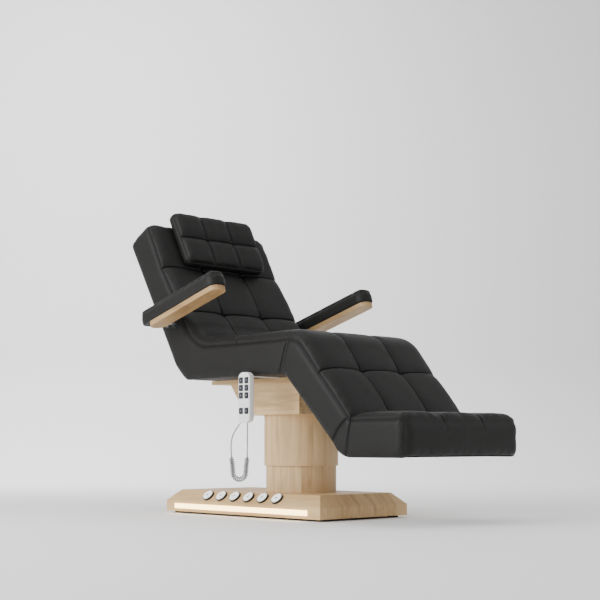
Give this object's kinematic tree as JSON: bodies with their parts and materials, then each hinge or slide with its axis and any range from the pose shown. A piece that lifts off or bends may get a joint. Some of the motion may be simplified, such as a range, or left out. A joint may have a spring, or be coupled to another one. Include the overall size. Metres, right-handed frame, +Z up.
{
  "type": "electric beauty bed",
  "caption": "Electric beauty bed with padded back, seat, leg and foot sections on a round lifting column and a sloped wood plinth, with armrests, pillow and hand control.",
  "frame": {"origin": "on the floor, under the middle of the bed's length and width", "axes": "+X toward the foot end, +Y to the lying person's left, +Z up"},
  "size_m": [1.5578, 0.918, 1.2884],
  "materials": {
    "oak": "satin light oak veneer",
    "black_leather": "satin black upholstery leather",
    "rear_vinyl": "flat black vinyl over a thin board",
    "black_steel": "black powder coat",
    "bright_steel": "ground steel",
    "actuator_grey": "grey housing",
    "black_plastic": "black plastic",
    "white_plastic": "white plastic",
    "key_grey": "dark grey rubber keys",
    "light_strip": "lit opal diffuser",
    "foot_rubber": "black rubber",
    "cord_grey": "grey cord sheath"
  },
  "bodies": {
    "base": {"base_frame": "black_steel", "base_plinth": "oak", "base_feet": "foot_rubber", "led_strips": "light_strip", "foot_button_bezels": "black_plastic", "column_lower_cover": "oak", "lift_actuator": "actuator_grey", "control_box": "actuator_grey", "power_inlet": "black_plastic"},
    "carriage": {"column_upper_cover": "oak", "column_inner_tube": "black_steel", "lift_rod": "bright_steel", "motor_box": "oak", "top_plate": "oak", "seat_frame": "black_steel", "seat_cushion": "black_leather", "seat_hinge_pins": "bright_steel", "handset_hook": "black_steel", "cord_socket": "black_plastic", "cord_lead_socket": "cord_grey", "cord_coil": "cord_grey", "cord_lead_handset": "cord_grey", "back_actuator": "actuator_grey", "leg_actuator": "actuator_grey", "back_gusset": "black_leather", "thigh_gusset": "black_leather"},
    "back": {"back_frame": "black_steel", "back_cushion": "black_leather", "back_rear_panel": "rear_vinyl", "arm_pivot_bolts": "bright_steel"},
    "pillow": {"pillow_cushion": "black_leather"},
    "arm_right": {"arm_right_board": "oak", "arm_right_pad": "black_leather"},
    "arm_left": {"arm_left_board": "oak", "arm_left_pad": "black_leather"},
    "leg": {"leg_frame": "black_steel", "leg_cushion": "black_leather", "knee_gusset": "black_leather"},
    "foot": {"foot_frame": "black_steel", "foot_cushion": "black_leather"},
    "level_link": {"level_links": "black_steel"},
    "back_rod": {"back_actuator_rod": "bright_steel"},
    "leg_rod": {"leg_actuator_rod": "bright_steel"},
    "handset": {"handset_front_shell": "white_plastic", "handset_rear_shell": "white_plastic", "handset_cord_boot": "cord_grey"},
    "foot_button_1": {"foot_button_1": "white_plastic"},
    "foot_button_2": {"foot_button_2": "white_plastic"},
    "foot_button_3": {"foot_button_3": "white_plastic"},
    "foot_button_4": {"foot_button_4": "white_plastic"},
    "foot_button_5": {"foot_button_5": "white_plastic"},
    "foot_button_6": {"foot_button_6": "white_plastic"},
    "handset_button_1": {"handset_button_1": "key_grey"},
    "handset_button_2": {"handset_button_2": "key_grey"},
    "handset_button_3": {"handset_button_3": "key_grey"},
    "handset_button_4": {"handset_button_4": "key_grey"},
    "handset_button_5": {"handset_button_5": "key_grey"},
    "handset_button_6": {"handset_button_6": "key_grey"},
    "handset_button_7": {"handset_button_7": "key_grey"},
    "handset_button_8": {"handset_button_8": "key_grey"}
  },
  "joints": [
    {"name": "lift", "type": "slide", "parent": "base", "child": "carriage", "axis": [0, 0, 1], "range_m": [-0.095, 0.155]},
    {"name": "back_recline", "type": "hinge", "parent": "carriage", "child": "back", "pos_m": [-0.419, 0, 0.651], "axis": [0, 1, 0], "range_deg": [-62.4, 12], "deforming": ["back_gusset"]},
    {"name": "leg_raise", "type": "hinge", "parent": "carriage", "child": "leg", "pos_m": [0.199, 0, 0.586], "axis": [0, -1, 0], "range_deg": [0, 47.5], "deforming": ["thigh_gusset"]},
    {"name": "foot_level", "type": "hinge", "parent": "leg", "child": "foot", "pos_m": [0.50682, 0, 0.34628], "axis": [0, 1, 0], "range_deg": [0, 47.5], "deforming": ["knee_gusset"]},
    {"name": "link_swing", "type": "hinge", "parent": "carriage", "child": "level_link", "pos_m": [0.174, 0, 0.591], "axis": [0, -1, 0], "range_deg": [0, 47.5]},
    {"name": "back_rod_slide", "type": "slide", "parent": "carriage", "child": "back_rod", "axis": [-1, 0, 0], "range_m": [-0.053, 0.0105]},
    {"name": "leg_rod_slide", "type": "slide", "parent": "carriage", "child": "leg_rod", "axis": [-1, 0, 0], "range_m": [0, 0.0262]},
    {"name": "pillow_lift_off", "type": "slide", "parent": "back", "child": "pillow", "axis": [0.8862, 0, 0.4633], "range_m": [0, 0.15]},
    {"name": "arm_right_fold", "type": "hinge", "parent": "back", "child": "arm_right", "pos_m": [-0.47713, -0.417, 0.78378], "axis": [0, -1, 0], "range_deg": [0, 100]},
    {"name": "arm_left_fold", "type": "hinge", "parent": "back", "child": "arm_left", "pos_m": [-0.47713, 0.417, 0.78378], "axis": [0, -1, 0], "range_deg": [0, 100]},
    {"name": "handset_lift", "type": "slide", "parent": "carriage", "child": "handset", "axis": [0, 0, 1], "range_m": [0, 0.03], "deforming": ["cord_lead_handset"]},
    {"name": "foot_button_1_press", "type": "slide", "parent": "base", "child": "foot_button_1", "axis": [0, 0.6997, -0.7145], "range_m": [0, 0.0025], "stiffness_N_per_m": 900, "springref_m": -0.001},
    {"name": "foot_button_2_press", "type": "slide", "parent": "base", "child": "foot_button_2", "axis": [0, 0.6997, -0.7145], "range_m": [0, 0.0025], "stiffness_N_per_m": 900, "springref_m": -0.001},
    {"name": "foot_button_3_press", "type": "slide", "parent": "base", "child": "foot_button_3", "axis": [0, 0.6997, -0.7145], "range_m": [0, 0.0025], "stiffness_N_per_m": 900, "springref_m": -0.001},
    {"name": "foot_button_4_press", "type": "slide", "parent": "base", "child": "foot_button_4", "axis": [0, 0.6997, -0.7145], "range_m": [0, 0.0025], "stiffness_N_per_m": 900, "springref_m": -0.001},
    {"name": "foot_button_5_press", "type": "slide", "parent": "base", "child": "foot_button_5", "axis": [0, 0.6997, -0.7145], "range_m": [0, 0.0025], "stiffness_N_per_m": 900, "springref_m": -0.001},
    {"name": "foot_button_6_press", "type": "slide", "parent": "base", "child": "foot_button_6", "axis": [0, 0.6997, -0.7145], "range_m": [0, 0.0025], "stiffness_N_per_m": 900, "springref_m": -0.001},
    {"name": "handset_button_1_press", "type": "slide", "parent": "handset", "child": "handset_button_1", "axis": [0, 1, 0], "range_m": [0, 0.0015], "stiffness_N_per_m": 800, "springref_m": -0.001},
    {"name": "handset_button_2_press", "type": "slide", "parent": "handset", "child": "handset_button_2", "axis": [0, 1, 0], "range_m": [0, 0.0015], "stiffness_N_per_m": 800, "springref_m": -0.001},
    {"name": "handset_button_3_press", "type": "slide", "parent": "handset", "child": "handset_button_3", "axis": [0, 1, 0], "range_m": [0, 0.0015], "stiffness_N_per_m": 800, "springref_m": -0.001},
    {"name": "handset_button_4_press", "type": "slide", "parent": "handset", "child": "handset_button_4", "axis": [0, 1, 0], "range_m": [0, 0.0015], "stiffness_N_per_m": 800, "springref_m": -0.001},
    {"name": "handset_button_5_press", "type": "slide", "parent": "handset", "child": "handset_button_5", "axis": [0, 1, 0], "range_m": [0, 0.0015], "stiffness_N_per_m": 800, "springref_m": -0.001},
    {"name": "handset_button_6_press", "type": "slide", "parent": "handset", "child": "handset_button_6", "axis": [0, 1, 0], "range_m": [0, 0.0015], "stiffness_N_per_m": 800, "springref_m": -0.001},
    {"name": "handset_button_7_press", "type": "slide", "parent": "handset", "child": "handset_button_7", "axis": [0, 1, 0], "range_m": [0, 0.0015], "stiffness_N_per_m": 800, "springref_m": -0.001},
    {"name": "handset_button_8_press", "type": "slide", "parent": "handset", "child": "handset_button_8", "axis": [0, 1, 0], "range_m": [0, 0.0015], "stiffness_N_per_m": 800, "springref_m": -0.001}
  ],
  "couplings": [
    {"joint": "foot_level", "follows": "leg_raise", "ratio": 1},
    {"joint": "link_swing", "follows": "leg_raise", "ratio": 1},
    {"joint": "leg_rod_slide", "follows": "leg_raise", "m_per_rad": 0.0311},
    {"joint": "back_rod_slide", "follows": "back_recline", "m_per_rad": 0.0483}
  ]
}
